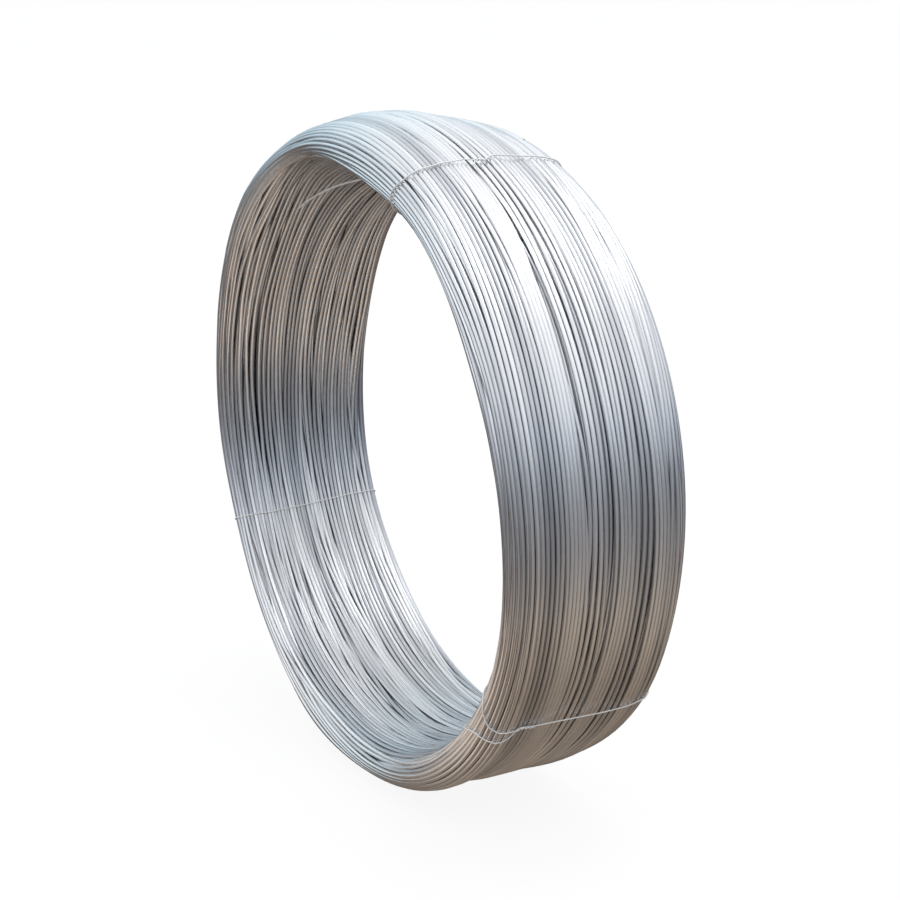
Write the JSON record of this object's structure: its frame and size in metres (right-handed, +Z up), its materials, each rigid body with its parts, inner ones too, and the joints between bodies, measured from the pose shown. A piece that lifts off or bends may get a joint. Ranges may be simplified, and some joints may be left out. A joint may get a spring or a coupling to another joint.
{
  "type": "coil of spring steel wire",
  "caption": "Ring-shaped coil of bright spring steel wire standing on its rim, held together by thin tie wires, with an open bore.",
  "frame": {"origin": "floor point under the middle of the ring, where the coil stands on its rim", "axes": "+Y along the axis of the ring and its bore, +Z up, +X across the ring; -Y is the end with the tie splices"},
  "size_m": [0.5998, 0.16, 0.5998],
  "materials": {
    "coil_wire": "bright drawn spring steel wire with a thin zinc coat, satin along the wire",
    "tie_wire": "soft bright tie wire"
  },
  "bodies": {
    "root": {"wire_coil": "coil_wire", "tie_upper": "tie_wire", "tie_lower": "tie_wire", "tie_rear": "tie_wire"}
  },
  "joints": []
}
